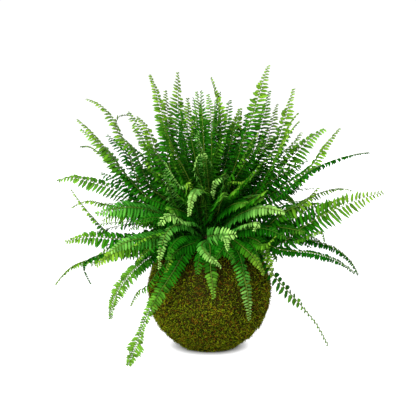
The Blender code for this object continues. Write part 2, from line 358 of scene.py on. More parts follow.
def shoot_object(name, rings):
    """A pointed shoot one unit tall, from rings of (height, half width, lean, corners)."""
    shape = bmesh.new()
    shoot_place = shape.verts.layers.float_vector.new("shoot")
    loops = []
    for height, half_width, lean, corners in rings:
        loop = []
        for corner in range(corners):
            turn = math.tau * corner / corners
            x, y = math.cos(turn), math.sin(turn)
            loop.append(shape.verts.new((half_width * x, lean + half_width * y, height)))
            loop[-1][shoot_place] = (x, y, height)
        loops.append(loop)
    for near, far in zip(loops, loops[1:]):
        for step in range(len(near)):
            following = (step + 1) % len(near)
            above = far if len(far) == 1 else (far[following], far[step])
            shape.faces.new((near[step], near[following], *above))
    shape.faces.new(loops[0])
    return pattern_object(shape, name)


cover_tree, given = growth_tree(
    "ground_cover", Geometry=["Ground"], Object=["Shoot"], Int=["Seed"], Material=["Finish"],
    Float=["Per Area", "Least Tilt", "Most Tilt", "Least Length", "Most Length", "Width", "Sunk", "Lowest"],
)
seed = given["Seed"]
spread = node(cover_tree, "GeometryNodeDistributePointsOnFaces", {
    "Mesh": given["Ground"], "Density": given["Per Area"], "Seed": seed,
})
points, normal, turned = (Wire(spread.outputs[name]) for name in ("Points", "Normal", "Rotation"))
for draw, axis, least, most in (
    (1, (0, 0, 1), 0.0, math.tau),
    (2, (1, 0, 0), given["Least Tilt"], given["Most Tilt"]),
):
    angle = chance(cover_tree, least, most, seed + draw)
    turn = made(cover_tree, "FunctionNodeAxisAngleToRotation", {"Axis": axis, "Angle": angle})
    turned = turned.into("FunctionNodeRotateRotation", {"Rotate By": turn}, rotation_space="LOCAL")
points = points.into("GeometryNodeSetPosition", {"Offset": normal * (given["Sunk"] * -1)})
points = keep(points, "tone", chance(cover_tree, 0.0, 1.0, seed + 3))
points = keep(points, "grow_cell", made(cover_tree, "GeometryNodeInputIndex"))
cells = points.into("GeometryNodeAttributeDomainSize", output="Point Count", component="POINTCLOUD")
cells = cells.do("SQRT").do("CEIL")
width = given["Width"] * chance(cover_tree, 0.7, 1.3, seed + 4)
height = chance(cover_tree, given["Least Length"], given["Most Length"], seed + 5)
cover = points.into("GeometryNodeInstanceOnPoints", {
    "Instance": given["Shoot"].into("GeometryNodeObjectInfo", output="Geometry"), "Rotation": turned,
    "Scale": vector_of(cover_tree, width, width, height),
})
cover = cover.into("GeometryNodeRealizeInstances")
x, y, z = axes(made(cover_tree, "GeometryNodeInputPosition"))
raised = vector_of(cover_tree, x, y, z.do("MAXIMUM", given["Lowest"]))
cover = cover.into("GeometryNodeSetPosition", {"Position": raised})
# Every shoot has a square of its own on the map.
across, _, up = axes(kept(cover_tree, "shoot", "FLOAT_VECTOR"))
cover = mapped(cover, kept(cover_tree, "grow_cell"), cells, 0.5 + across * 0.35, varied(up, 0.12, 0.88))
cover = plain(cover).into("GeometryNodeSetMaterial", {"Material": given["Finish"]})
node(cover_tree, "NodeGroupOutput", {"Grown": cover})

tree, shader, peat_finish = finish_named("peat")
grain = mottle(tree, 600, 4.0)
lumps = mottle(tree, 90, 3.0)
hue = blend(tree, step_up(grain, 0.35, 0.7), PEAT_DARK, PEAT_BROWN)
hue = blend(tree, step_up(lumps, 0.4, 0.7) * 0.5, hue, PEAT_LUMP)
coat(tree, shader, hue, varied(grain, 0.85, 0.97), 0.2, grain + lumps * 2, 0.6 * MM, 0.8)

soil = dressed("soil_ball", peat_finish)
crown_low, crown_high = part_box("rhizome_crown")
crown_radius = (crown_high.x - crown_low.x) / 2
crumb = shoot_object("crumb", CRUMB_RINGS)
soil_top = ground_of(welded(soil), "soil_top", lambda middle, normal: (
    normal.z > TOP_FACE and middle.xy.length > crown_radius))
crumbs = grow(cover_tree, "peat_crumbs", soil_top, {
    "Shoot": crumb, "Per Area": CRUMBS_PER_AREA, "Seed": 5, "Least Tilt": 0.0, "Most Tilt": math.radians(80),
    "Least Length": CRUMB_SIZE * 0.5, "Most Length": CRUMB_SIZE, "Width": CRUMB_SIZE,
    "Sunk": CRUMB_SIZE * 0.2, "Lowest": 0.0, "Finish": peat_finish,
})
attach(crumbs, "root")


# ---- Moss wrap -------------------------------------------
# A mat of living sheet moss is wrapped round the soil.  It is a springy felt of short olive shoots that
# lie in every direction, dark and matted underneath, with dry red-brown ones among them.
MAT_VOXEL = 4 * MM
MAT_RELIEF = 1.6 * MM
RELIEF_SPAN = 14 * MM
MAT_FOOT = 3 * MM
FOOT_BARE = 0.3
MAT_SINK = 2.5 * MM
OUTER_SHARE = 0.9
RESTING_FACE = -0.96
# The dark, olive and dry colours of the mat and of each layer of shoots.
MOSS_COLOURS = {
    "moss_mat": ((0.006, 0.011, 0.0005, 1), (0.08, 0.12, 0.002, 1), (0.025, 0.014, 0.002, 1)),
    "moss_undergrowth": ((0.011, 0.023, 0.0005, 1), (0.085, 0.135, 0.002, 1), (0.09, 0.04, 0.003, 1)),
    "moss_shoots": ((0.014, 0.030, 0.0005, 1), (0.33, 0.43, 0.010, 1), (0.34, 0.12, 0.008, 1)),
}
# Each layer's seed, least and most tilt in degrees, and shortest and longest shoot in millimetres.
SHOOT_LAYERS = (
    ("moss_undergrowth", 11, 45, 84, 4.0, 6.5),
    ("moss_shoots", 23, 28, 84, 3.5, 7.5),
)
SHOOTS_PER_AREA = 1.7e5
SHOOT_WIDTH = 0.4 * MM
SHOOT_RINGS = ((0, 0.7, 0, 3), (0.5, 1.0, 1.1, 3), (1.0, 0, 0, 1))


def mark(tree, name, output="Fac"):
    """The attribute of this name, in a material."""
    return made(tree, "ShaderNodeAttribute", output=output, attribute_name=name)


def skin_group(name, colours):
    """A shader node group that puts out Colour, Roughness and Height, and its colour inputs."""
    tree = bpy.data.node_groups.new(name, "ShaderNodeTree")
    for socket in colours:
        tree.interface.new_socket(socket, in_out="INPUT", socket_type="NodeSocketColor")
    for socket, kind in (("Colour", "Color"), ("Roughness", "Float"), ("Height", "Float")):
        tree.interface.new_socket(socket, in_out="OUTPUT", socket_type=f"NodeSocket{kind}")
    return tree, tree.nodes.new("NodeGroupInput").outputs


def skinned(name, skin, colours, gloss, depth, strength):
    """A new material's shader and the material, which wears this skin in these colours."""
    tree, shader, finish = finish_named(name)
    look = node(tree, "ShaderNodeGroup", node_tree=skin)
    for socket, colour in zip(look.inputs, colours):
        socket.default_value = colour
    coat(tree, shader, look.outputs["Colour"], look.outputs["Roughness"], gloss,
         look.outputs["Height"], depth, strength)
    return shader, finish


moss_skin, given = skin_group("moss_skin", ("Dark", "Olive", "Dry"))
tone = mark(moss_skin, "tone")
height = axes(mark(moss_skin, "shoot", "Vector"))[2]
patches = mottle(moss_skin, 22, 3.0)
grain = mottle(moss_skin, 800)
tips = step_up(height * 0.6 + tone * 0.5 + (patches - 0.5) + (grain - 0.5) * 1.4, 0.25, 1.0)
hue = blend(moss_skin, tips, given["Dark"], given["Olive"])
dryness = step_up(mottle(moss_skin, 130) * 0.6 + (1 - tone) * 0.45, 0.56, 0.74)
node(moss_skin, "NodeGroupOutput", {
    "Colour": blend(moss_skin, dryness * 0.65, hue, given["Dry"]),
    "Roughness": varied(tone, 0.75, 0.95),
    "Height": mottle(moss_skin, 500, 3.0),
})
moss_finishes = {
    name: skinned(name, moss_skin, colours, 0.04, 0.4 * MM, 0.6)[1] for name, colours in MOSS_COLOURS.items()
}

ball_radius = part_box("moss_wrap")[1].x
ball_middle = Vector((0, 0, ball_radius))
mat_maker = shown("moss_rough", mesh_of(welded(frame["nodes"]["moss_wrap"]), "moss_rough"))
remesh = mat_maker.modifiers.new("felt", "REMESH")
remesh.mode = "VOXEL"
remesh.voxel_size = MAT_VOXEL
mat_mesh = bpy.data.meshes.new_from_object(mat_maker.evaluated_get(bpy.context.evaluated_depsgraph_get()))
bpy.data.objects.remove(mat_maker)
shape = bmesh.new()
shape.from_mesh(mat_mesh)
for corner in shape.verts:
    lift = noise.fractal(corner.co / RELIEF_SPAN, 1.0, 2.0, 3) * MAT_RELIEF
    if corner.normal.dot(corner.co - ball_middle) > 0:
        lift -= MAT_SINK
    corner.co += corner.normal * lift * min(1.0, max(0.0, corner.co.z / MAT_FOOT - FOOT_BARE))
    corner.co.z = max(corner.co.z, 0.0)
for face in shape.faces:
    face.smooth = True
shape.to_mesh(mat_mesh)
outside = ground_of(shape, "moss_outside", lambda middle, normal: (
    normal.dot(middle - ball_middle) > 0 and (middle - ball_middle).length > OUTER_SHARE * ball_radius
    and normal.z > RESTING_FACE))
mat_mesh.materials.clear()
mat_mesh.materials.append(moss_finishes["moss_mat"])
moss = shown("moss_mat", mat_mesh)
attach(moss, "root")
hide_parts("moss_wrap")

moss_shoot = shoot_object("moss_shoot", SHOOT_RINGS)
for name, seed, least_tilt, most_tilt, shortest, longest in SHOOT_LAYERS:
    shoots = grow(cover_tree, name, outside.copy(), {
        "Shoot": moss_shoot, "Per Area": SHOOTS_PER_AREA, "Seed": seed,
        "Least Tilt": math.radians(least_tilt), "Most Tilt": math.radians(most_tilt),
        "Least Length": shortest * MM, "Most Length": longest * MM, "Width": SHOOT_WIDTH,
        "Sunk": 0.5 * MM, "Lowest": 0.3 * MM, "Finish": moss_finishes[name],
    })
    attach(shoots, "root")


# ---- Crown -----------------------------------------------
# The crown is the short woody rootstock that every frond springs from.  It is rough and nearly black,
# and papery brown scales cover it.
BARK_DARK = (0.012, 0.008, 0.003, 1)
BARK_BROWN = (0.05, 0.028, 0.010, 1)
SCALE_DARK = (0.06, 0.026, 0.008, 1)
SCALE_BROWN = (0.16, 0.075, 0.022, 1)
SCALE_TIP = (0.22, 0.13, 0.05, 1)
UNDER_FACE = -0.5
SCALES_PER_AREA = 1.1e5
SCALE_RINGS = ((0, 0.8, 0, 4), (0.45, 1.0, 0.4, 4), (1.0, 0, 0, 1))

tree, shader, bark_finish = finish_named("crown_bark")
grain = mottle(tree, 350, 4.0)
hue = blend(tree, step_up(grain, 0.35, 0.7), BARK_DARK, BARK_BROWN)
coat(tree, shader, hue, varied(grain, 0.7, 0.9), 0.5, grain, 0.8 * MM, 0.8)

tree, shader, scale_finish = finish_named("crown_scale")
hue = blend(tree, mark(tree, "tone"), SCALE_DARK, SCALE_BROWN)
hue = blend(tree, axes(mark(tree, "shoot", "Vector"))[2] * 0.5, hue, SCALE_TIP)
coat(tree, shader, hue, varied(mottle(tree, 500), 0.6, 0.85), 0.2)

crown = dressed("rhizome_crown", bark_finish)
scale = shoot_object("scale", SCALE_RINGS)
crown_sides = ground_of(welded(crown), "crown_sides", lambda middle, normal: normal.z > UNDER_FACE)
scales = grow(cover_tree, "crown_scales", crown_sides, {
    "Shoot": scale, "Per Area": SCALES_PER_AREA, "Seed": 31, "Least Tilt": math.radians(35),
    "Most Tilt": math.radians(75), "Least Length": 5 * MM, "Most Length": 9 * MM, "Width": 0.6 * MM,
    "Sunk": 0.8 * MM, "Lowest": 0.0, "Finish": scale_finish,
})
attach(scales, "root")
for pattern in (crumb, moss_shoot, scale):
    bpy.data.objects.remove(pattern)


# ---- Leaflet ---------------------------------------------
# The fern's leaflet is a narrow pointed blade with a rounded base, a small ear beside the rib and a
# scalloped edge.  It swells on either side of its sunken midvein, which stands out underneath.
LEAFLET_TOP = ((-1.0, -0.22), (-0.5, 0.08), (0.0, 0.0), (0.5, 0.08), (1.0, -0.22))
LEAFLET_VEIN = (0.0, -0.3)
SCALLOP = 0.1
BASE_WIDTH = 0.5
BASE_OPENING = 4.0
TAPER_FROM = 0.45
TAPER = 0.88
EAR_WIDTH = 0.35
EAR_PLACE = 0.12
EAR_SPAN = 0.08


def leaflet_half_width(along, forward):
    """Half width at a share of the length: full from the base on, tapering to the point, eared in front."""
    opening = min(1.0, BASE_WIDTH + BASE_OPENING * along)
    spent = max(0.0, (along - TAPER_FROM) / (1 - TAPER_FROM))
    ear = EAR_WIDTH * math.exp(-((along - EAR_PLACE) / EAR_SPAN) ** 2) if forward else 0.0
    return opening * (1 - TAPER * spent ** 2) + ear


def leaflet_object(name, rows, top_line):
    """A leaflet one unit long and one unit wide on either side, of this many rows and this section."""
    shape = bmesh.new()
    leaf_place = shape.verts.layers.float_vector.new("leaf")
    underside = shape.faces.layers.float.new("under")

    def corner_at(row, across, height):
        along = row / rows
        width = leaflet_half_width(along, across > 0) * (1 - SCALLOP * (row % 2))
        corner = shape.verts.new((along, across * width, height * width))
        corner[leaf_place] = corner.co
        return corner

    ends = corner_at(0, 0.0, 0.0), corner_at(rows, 0.0, 0.0)
    tops = [[corner_at(row, *spot) for spot in top_line] for row in range(1, rows)]
    bottoms = [[top[-1], corner_at(row, *LEAFLET_VEIN), top[0]] for row, top in enumerate(tops, start=1)]
    for side, strips in enumerate((tops, bottoms)):
        for near, far in zip(strips, strips[1:]):
            for step in range(len(near) - 1):
                shape.faces.new((near[step], far[step], far[step + 1], near[step + 1]))[underside] = side
        for step in range(len(strips[0]) - 1):
            shape.faces.new((ends[0], strips[0][step], strips[0][step + 1]))[underside] = side
            shape.faces.new((ends[1], strips[-1][step + 1], strips[-1][step]))[underside] = side
    for edge in shape.edges:
        edge.smooth = len({face[underside] for face in edge.link_faces}) == 1
    return pattern_object(shape, name)


leaflet = leaflet_object("leaflet", 6, LEAFLET_TOP)
small_leaflet = leaflet_object("small_leaflet", 4, LEAFLET_TOP[::2])


# ---- How a frond grows -----------------------------------
# A frond is one grown piece: a springy rib, bare at its foot, with a row of leaflets on either side that
# are longest in the middle of the blade and crowd together towards its tip.
RIB_SIDES = 6
RIB_PITCH = 6 * MM
RIB_RESOLUTION = 6
RIB_TAPER = 0.6
# How far the two rows are staggered and each leaflet strays, in steps, and how far it sweeps, in radians.
STAGGER = 0.25
STEP_SPREAD = 0.2
SWEEP_SPREAD = 0.18
TIP_SWEEP = 0.3
BROAD_FOOT = (0.04, 0.3)
LEAFLET_LEAST = 3.0 * MM
BEND_LEAST = 0.01
RUFFLE_WAVE = 9
SICKLE = 0.14
SAG = 0.1
MAP_INSIDE = (0.06, 0.94)

frond_tree, given = growth_tree(
    "fern_frond", Geometry=["Rib"], Object=["Leaflet"], Int=["Seed"], Material=["Leaf Finish", "Rib Finish"],
    Float=["Bare Stipe", "Pitch", "Crowding", "Leaflet Width", "Narrowing", "Sweep", "Twist", "Droop", "Curl",
           "Ruffle", "Tip Youth", "Foot Breadth", "Rib Radius"],
)
rib = given["Rib"].into("GeometryNodeMeshToCurve")
rib = rib.into("GeometryNodeCurveSplineType", spline_type="CATMULL_ROM")
rib = rib.into("GeometryNodeSetSplineResolution", {"Resolution": RIB_RESOLUTION})
bare = given["Bare Stipe"]
pairs = (rib.into("GeometryNodeCurveLength") * (1 - bare) / given["Pitch"]).do("ROUND")
cells = (pairs * 4 + 1).do("SQRT").do("CEIL")
order = made(frond_tree, "GeometryNodeInputIndex")
frond_parts = []
for side_sign in (1, -1):
    seed = given["Seed"] * 10 + side_sign
    step_draw, sweep_draw, twist_draw, length_draw, width_draw, limp_draw, phase_draw = (
        chance(frond_tree, 0.0, 1.0, seed + 100 * draw) for draw in range(1, 8))
    spot = (order + 0.5 + STAGGER * side_sign + (step_draw - 0.5) * STEP_SPREAD) / pairs
    share = bare + (1 - bare) * (1 - (1 - spot).do("MAXIMUM", 0.0).do("POWER", given["Crowding"]))
    half = rib.into("GeometryNodeSampleCurve", {
        "Value": kept(frond_tree, "half"), "Factor": share,
    }, "Value", mode="FACTOR", data_type="FLOAT")
    rib_spot = node(frond_tree, "GeometryNodeSampleCurve", {
        "Curves": rib, "Value": kept(frond_tree, "upper", "FLOAT_VECTOR"), "Factor": share,
    }, mode="FACTOR", data_type="FLOAT_VECTOR")
    upper, root, tangent = (Wire(rib_spot.outputs[name]) for name in ("Value", "Position", "Tangent"))
    upper = (upper - tangent * upper.do("DOT_PRODUCT", tangent)).do("NORMALIZE")
    sideways = tangent.do("CROSS_PRODUCT", upper) * side_sign
    sweep = given["Sweep"] + (sweep_draw - 0.5) * SWEEP_SPREAD + share * TIP_SWEEP
    twist = given["Twist"] * varied(twist_draw, 0.6, 1.4)
    outward = sideways * sweep.do("COSINE") + tangent * sweep.do("SINE")
    forward = tangent * sweep.do("COSINE") - sideways * sweep.do("SINE")
    widened = half * (1 + given["Foot Breadth"] * (1 - step_up(share, *BROAD_FOOT)))
    long = (widened * varied(length_draw, 0.92, 1.08) / sweep.do("COSINE")).do("MAXIMUM", LEAFLET_LEAST)
    fullness = 1 - (long * -1 / given["Narrowing"]).do("EXPONENT")
    limp = limp_draw * limp_draw * limp_draw

    points = made(frond_tree, "GeometryNodePoints", {"Count": pairs, "Position": root})
    for name, value in {
        "grow_root": root,
        "grow_outward": outward,
        "grow_forward": forward * twist.do("COSINE") - upper * twist.do("SINE"),
        "grow_face": upper * twist.do("COSINE") + forward * twist.do("SINE"),
        "grow_long": long,
        "grow_wide": given["Leaflet Width"] * 0.5 * fullness * varied(width_draw, 0.88, 1.12),
        "grow_bend": given["Droop"] * (0.5 + twist_draw) + given["Curl"] * limp + BEND_LEAST,
        "grow_phase": phase_draw * math.tau,
        "grow_cell": order * 2 + (1 - side_sign) * pairs,
        "tone": step_draw,
        "age": share * given["Tip Youth"],
    }.items():
        points = keep(points, name, value, "FLOAT_VECTOR" if value.is_vector else "FLOAT")
    leaf = given["Leaflet"].into("GeometryNodeObjectInfo", output="Geometry")
    leaves = points.into("GeometryNodeInstanceOnPoints", {"Instance": leaf})
    leaves = leaves.into("GeometryNodeRealizeInstances")

    along, across, swell = axes(kept(frond_tree, "leaf", "FLOAT_VECTOR"))
    root, outward, forward, face = (
        kept(frond_tree, f"grow_{name}", "FLOAT_VECTOR") for name in ("root", "outward", "forward", "face"))
    long, wide, bend, phase = (kept(frond_tree, f"grow_{name}") for name in ("long", "wide", "bend", "phase"))
    turned = bend * along
    ruffle = (along * RUFFLE_WAVE + phase).do("SINE") * across * across * given["Ruffle"]
    place = root + outward * (long * turned.do("SINE") / bend)
    place = place - face * (long * (1 - turned.do("COSINE")) / bend)
    place = place + forward * (across * wide + long * along * along * SICKLE)
    place = place - vector_of(frond_tree, 0.0, 0.0, long * along * along * SAG)
    place = place + (face * turned.do("COSINE") + outward * turned.do("SINE")) * (wide * (swell + ruffle))
    leaves = leaves.into("GeometryNodeSetPosition", {"Position": place})
    leaves = mapped(leaves, kept(frond_tree, "grow_cell") + kept(frond_tree, "under"), cells,
                    varied(along, *MAP_INSIDE), 0.5 + across * 0.32)
    if side_sign < 0:
        leaves = leaves.into("GeometryNodeFlipFaces")
    frond_parts.append(leaves)

along = made(frond_tree, "GeometryNodeSplineParameter")
stem = rib.into("GeometryNodeResampleCurve", {"Length": RIB_PITCH}, mode="LENGTH")
stem = keep(keep(stem, "age", along), "woody", 1.0)
ring = made(frond_tree, "GeometryNodeCurvePrimitiveCircle", {"Resolution": RIB_SIDES, "Radius": 1.0})
ring = keep(ring, "grow_turn", along)
age, turn = kept(frond_tree, "age"), kept(frond_tree, "grow_turn")
thickness = given["Rib Radius"] * (1 - age * RIB_TAPER)
stem = stem.into("GeometryNodeCurveToMesh", {"Profile Curve": ring, "Fill Caps": True, "Scale": thickness})
stem = mapped(stem, pairs * 4, cells, varied(age, *MAP_INSIDE), varied(turn, *MAP_INSIDE))

join = node(frond_tree, "GeometryNodeJoinGeometry")
for part in (*frond_parts, stem):
    plug(frond_tree, join.inputs["Geometry"], part)
whole = plain(Wire(join.outputs["Geometry"]))
whole = whole.into("GeometryNodeSetMaterial", {"Material": given["Leaf Finish"]})
woody = kept(frond_tree, "woody").into("FunctionNodeCompare", {1: 0.5}, operation="GREATER_THAN")
whole = whole.into("GeometryNodeSetMaterial", {"Selection": woody, "Material": given["Rib Finish"]})
node(frond_tree, "NodeGroupOutput", {"Grown": whole})


# ---- Frond finishes --------------------------------------
# Painted shade darkens each leaflet at its rim and at its foot beside the rib, and darkens the leaf towards
# the crown.
# Leaf is waxy above and matt underneath, deep green where it is old and yellow-green where it is still
# young.  Its midvein is paler, and fine side veins run from it to the edge.
# Each kind of frond has the colours of its grown leaf, its young tip and its underside.
FROND_COLOURS = {
    "deep_frond": ((0.006, 0.105, 0.002, 1), (0.13, 0.30, 0.025, 1), (0.022, 0.19, 0.006, 1)),
    "fresh_frond": ((0.011, 0.145, 0.002, 1), (0.155, 0.29, 0.020, 1), (0.045, 0.23, 0.010, 1)),
    "pale_frond": ((0.03, 0.21, 0.013, 1), (0.23, 0.43, 0.09, 1), (0.10, 0.35, 0.05, 1)),
}
LEAF_SHEEN = (0.5, 1.0, 0.3, 1)
# How much painted shade darkens a leaflet at its rim and at its foot beside the rib, and how its side veins
# run.
RIM_PAINTED_SHADE = 0.55
FOOT_PAINTED_SHADE = 0.5
VEIN_WAVE = 34
VEIN_SLANT = 5
# Each kind of rib has the colours of its foot and its tip.
RIB_COLOURS = {
    "grown_rib": ((0.03, 0.055, 0.004, 1), (0.12, 0.22, 0.018, 1)),
    "young_rib": ((0.015, 0.05, 0.002, 1), (0.06, 0.17, 0.010, 1)),
}

leaf_skin, given = skin_group("leaf_skin", ("Grown", "Young", "Under"))
along, across, _ = axes(mark(leaf_skin, "leaf", "Vector"))
across = across.do("ABSOLUTE")
tone, age, under = (mark(leaf_skin, name) for name in ("tone", "age", "under"))
youth = step_up(age + (tone - 0.5) * 0.12, 0.5, 1.0)
colour = blend(leaf_skin, youth, given["Grown"], given["Young"])
colour = blend(leaf_skin, under * 0.7, colour, given["Under"])
patches = mottle(leaf_skin, 70)
# Painted shade: each leaflet is darker at its rim and at its foot beside the rib, and lighter towards its
# point.
rim = step_up(across, 0.4, 1.0)
foot = 1 - step_up(along, 0.0, 0.3)
# The leaf is darker towards the crown, partly because it is older and partly as painted shade of the plant's
# crowded middle.
age_and_painted_shade = step_up(age, 0.1, 0.95)
shade = (varied(tone, 0.62, 1.4) + along * 0.24) * varied(patches, 0.7, 1.3) * varied(age_and_painted_shade, 0.54, 1.02)
shade = shade * (1 - rim * RIM_PAINTED_SHADE) * (1 - foot * FOOT_PAINTED_SHADE)
vein = 1 - step_up(across, 0.03, 0.12)
side_veins = (along * VEIN_WAVE - across * VEIN_SLANT).do("SINE") * step_up(across, 0.05, 0.2)
node(leaf_skin, "NodeGroupOutput", {
    "Colour": blend(leaf_skin, vein * 0.4, colour.scaled(shade), given["Under"]),
    "Roughness": varied(patches, 0.45, 0.61) + under * 0.25,
    "Height": vein * -0.6 + side_veins * 0.25 + patches * 0.3,
})

leaf_finishes = {}
for name, colours in FROND_COLOURS.items():
    shader, leaf_finishes[name] = skinned(name, leaf_skin, colours, 0.02, 0.15 * MM, 0.5)
    shader.inputs["Specular Tint"].default_value = LEAF_SHEEN

rib_finishes = {}
for name, (foot_colour, tip_colour) in RIB_COLOURS.items():
    tree, shader, rib_finishes[name] = finish_named(name)
    hue = blend(tree, step_up(mark(tree, "age"), 0.1, 0.7), foot_colour, tip_colour)
    coat(tree, shader, blend(tree, mottle(tree, 400) * 0.5, hue, foot_colour), 0.55, 0.15)


# ---- Fronds ----------------------------------------------
# Each frond follows the solid that holds its place: the rib runs through the middle of its blade, and
# the leaflets reach to its edges.  Its leaf is deep, fresh or pale green as it is older or younger.
FROND_HABIT = {
    "Leaflet": leaflet, "Bare Stipe": 0.07, "Crowding": 1.15, "Sweep": math.radians(6),
    "Twist": math.radians(26), "Tip Youth": 1.0, "Curl": 0.9, "Ruffle": 0.15, "Rib Radius": 0.8 * MM,
    "Rib Finish": rib_finishes["grown_rib"],
}
# How full the leaflets of each group are, and how much broader at the foot of the blade.
GROUPS = {
    "upright": (1.12, 0.9), "left": (1.05, 0.9), "right": (1.0, 0.9), "back": (0.95, 0.9),
    "front": (1.12, 0.15), "young": (0.85, 0.4), "inner": (0.85, 0.4),
}
PALE_FULLNESS = 0.8
OVER_THE_BALL = ("left_frond_01", "left_frond_02")
PITCH_LEAST = 2.6 * MM
PITCH_MOST = 6.4 * MM
PITCH_PER_WIDTH = 0.21
NARROWING_PER_WIDTH = 0.36
DROOP_LEAST = 0.3
DROOPING_BELOW = 12 * MM
DROOP_PER_WIDTH = 0.22 / MM
TIP_SHARE = 0.5
LEAFLET_OVERREACH = 1.2 * MM
# Some blades are broader or narrower than their solids: the half widths are multiplied by these numbers,
# which stand at even steps from foot to tip.
BREADTHS = {
    "left_frond_01": (1.0, 1.0, 1.0, 1.0, 1.0, 1.0, 0.85, 0.6, 0.35, 2.6, 2.2),
    "left_frond_02": (1.25,),
    "left_frond_10": (1.4,),
    "left_frond_12": (1.5,),
    "left_frond_17": (2.0,),
    "right_frond_01": (1.0, 1.0, 1.2, 1.2, 1.2, 1.3, 1.1, 0.5, 0.2, 0.2, 0.5),
    "right_frond_02": (0.65,),
    "right_frond_03": (0.6,),
    "right_frond_07": (1.4,),
    "right_frond_08": (1.1,),
}
# These fronds have leaflets of their own habit: sparse, small, crisped or older than the rest.
CRISPED = {"Pitch": 3.8 * MM, "Leaflet Width": 4.8 * MM, "Curl": 1.4, "Tip Youth": 0.6}
OWN_HABITS = {
    "left_frond_01": {
        "Pitch": 3.8 * MM, "Leaflet Width": 4.6 * MM, "Curl": 1.2, "Ruffle": 0.6, "Tip Youth": 1.25,
        "Rib Finish": rib_finishes["young_rib"],
    },
    "left_frond_02": {
        "Pitch": 3.4 * MM, "Leaflet Width": 4.8 * MM, "Curl": 1.5, "Ruffle": 0.6, "Tip Youth": 1.2,
    },
    "left_frond_06": {"Tip Youth": 0.8},
    "left_frond_07": {"Tip Youth": 0.85},
    "left_frond_08": {"Tip Youth": 0.75},
    "right_frond_01": {
        "Pitch": 8 * MM, "Leaflet Width": 8.5 * MM, "Narrowing": 5 * MM, "Droop": 0.5, "Tip Youth": 1.2,
        "Rib Radius": 1.1 * MM,
    },
    "right_frond_02": CRISPED,
    "right_frond_03": CRISPED,
    "right_frond_05": {"Leaflet Width": 4.8 * MM},
    "right_frond_08": {"Tip Youth": 0.5},
}


def blade_of(solid):
    """Foot to tip, the middle, half width and upper side of a frond's solid at each of its sections."""
    shape = welded(solid)
    # A section has four corners, and the tip is the corner from which every step back meets a section.
    for tip in shape.verts:
        rings, seen = [[tip]], {tip}
        while rings[-1]:
            ahead = {edge.other_vert(corner) for corner in rings[-1] for edge in corner.link_edges}
            rings.append(sorted(ahead - seen, key=lambda corner: corner.index))
            seen |= ahead
        if all(len(ring) == 4 for ring in rings[1:-1]):
            break
    blade = []
    for ring in rings[-2:0:-1]:
        left, right = max(combinations(ring, 2), key=lambda pair: (pair[0].co - pair[1].co).length)
        middle = (left.co + right.co) / 2
        faces = sorted(set(ring) - {left, right}, key=lambda corner: (corner.co - middle).length)
        blade.append((middle, (left.co - right.co).length / 2, (faces[0].co - faces[1].co).normalized()))
    blade.append((tip.co.copy(), blade[-1][1] * TIP_SHARE, blade[-1][2]))
    shape.free()
    return blade


def broadened(blade, steps):
    """The blade with its half widths multiplied by these numbers, which stand at even steps along it."""
    wider = []
    for number, (place, half, upper) in enumerate(blade):
        along = number / (len(blade) - 1) * (len(steps) - 1)
        before, after = steps[int(along)], steps[min(int(along) + 1, len(steps) - 1)]
        wider.append((place, half * (before + (after - before) * (along % 1)), upper))
    return wider


def rib_guide(blade):
    """The line that a frond grows on, with the blade's half width and upper side kept along it."""
    mesh = bpy.data.meshes.new("rib_guide")
    steps = [(step, step + 1) for step in range(len(blade) - 1)]
    mesh.from_pydata([place for place, _, _ in blade], steps, [])
    halves = [half + LEAFLET_OVERREACH for _, half, _ in blade]
    mesh.attributes.new("half", "FLOAT", "POINT").data.foreach_set("value", halves)
    uppers = [axis for _, _, upper in blade for axis in upper]
    mesh.attributes.new("upper", "FLOAT_VECTOR", "POINT").data.foreach_set("vector", uppers)
    return mesh


def leaflets_for(blade, group, leaf):
    """The habit of a frond's leaflets: on a narrow frond they are close, small and folded down."""
    widest = max(half for _, half, _ in blade)
    pitch = min(PITCH_MOST, PITCH_LEAST + PITCH_PER_WIDTH * widest)
    fullness, foot_breadth = GROUPS[group]
    fullness = fullness * (PALE_FULLNESS if leaf == "pale_frond" else 1.0)
    droop = DROOP_LEAST + DROOP_PER_WIDTH * max(0.0, DROOPING_BELOW - widest)
    return {"Pitch": pitch, "Leaflet Width": pitch * fullness, "Narrowing": widest * NARROWING_PER_WIDTH,
            "Droop": droop, "Foot Breadth": foot_breadth, "Leaf Finish": leaf_finishes[leaf]}


leaf_slots = {part["node"]: part["material_slot"] for part in frame["record"]["subparts"]}
for number, name in enumerate(sorted(name for name in frame["nodes"] if "_frond_" in name)):
    blade = broadened(blade_of(frame["nodes"][name]), BREADTHS.get(name, (1.0,)))
    group = "front" if name in OVER_THE_BALL else name.split("_")[0]
    habit = {**FROND_HABIT, **leaflets_for(blade, group, leaf_slots[name]), "Seed": number}
    habit.update(OWN_HABITS.get(name, {}))
    frond = grow(frond_tree, f"fern_{name}", rib_guide(blade), habit)
    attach(frond, "root")
    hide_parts(name)


